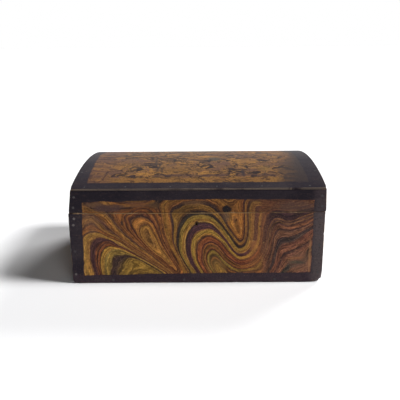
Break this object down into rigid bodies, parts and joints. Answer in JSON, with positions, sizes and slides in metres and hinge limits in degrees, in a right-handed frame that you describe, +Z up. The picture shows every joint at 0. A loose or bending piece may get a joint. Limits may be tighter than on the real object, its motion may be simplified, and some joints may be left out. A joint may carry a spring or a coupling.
{
  "type": "deed box",
  "caption": "Small grain-painted wooden box for papers, with a gently domed hinged lid, butt hinges and a small box lock.",
  "frame": {"origin": "middle of the flat underside of the case", "axes": "+X along the front to the viewer's right, +Y from the front to the hinged back, +Z up"},
  "size_m": [0.3812, 0.2688, 0.1646],
  "materials": {
    "grained_paint": "comb-grained paint under old varnish, satin",
    "dark_paint": "worn black paint, satin",
    "bare_pine": "bare aged pine, dull",
    "old_iron": "dark aged iron",
    "lock_brass": "tarnished brass"
  },
  "bodies": {
    "case": {"front_board": "grained_paint", "back_board": "dark_paint", "left_end_board": "grained_paint", "right_end_board": "grained_paint", "bottom_board": "bare_pine", "case_nails": "old_iron", "bottom_nails": "old_iron", "hinge_left_case_leaf": "old_iron", "hinge_right_case_leaf": "old_iron", "hinge_left_pin": "old_iron", "hinge_right_pin": "old_iron", "hinge_case_screws": "old_iron", "lock_plate": "lock_brass", "lock_case": "lock_brass", "lock_key_post": "old_iron", "lock_spring": "old_iron", "lock_screws": "lock_brass"},
    "bolt": {"lock_bolt": "lock_brass"},
    "lid": {"lid_top": "grained_paint", "lid_front_rail": "grained_paint", "lid_back_rail": "dark_paint", "lid_left_end": "grained_paint", "lid_right_end": "grained_paint", "lid_nails": "old_iron", "lid_top_brads": "old_iron", "hinge_left_lid_leaf": "old_iron", "hinge_right_lid_leaf": "old_iron", "hinge_lid_screws": "old_iron", "lock_staple": "lock_brass", "staple_eye": "lock_brass", "staple_screws": "lock_brass"}
  },
  "joints": [
    {"name": "lid_hinge", "type": "hinge", "parent": "case", "child": "lid", "pos_m": [0, 0.1305, 0.11215], "axis": [-1, 0, 0], "range_deg": [0, 105]},
    {"name": "bolt_slide", "type": "slide", "parent": "case", "child": "bolt", "axis": [1, 0, 0], "range_m": [0, 0.006]}
  ]
}
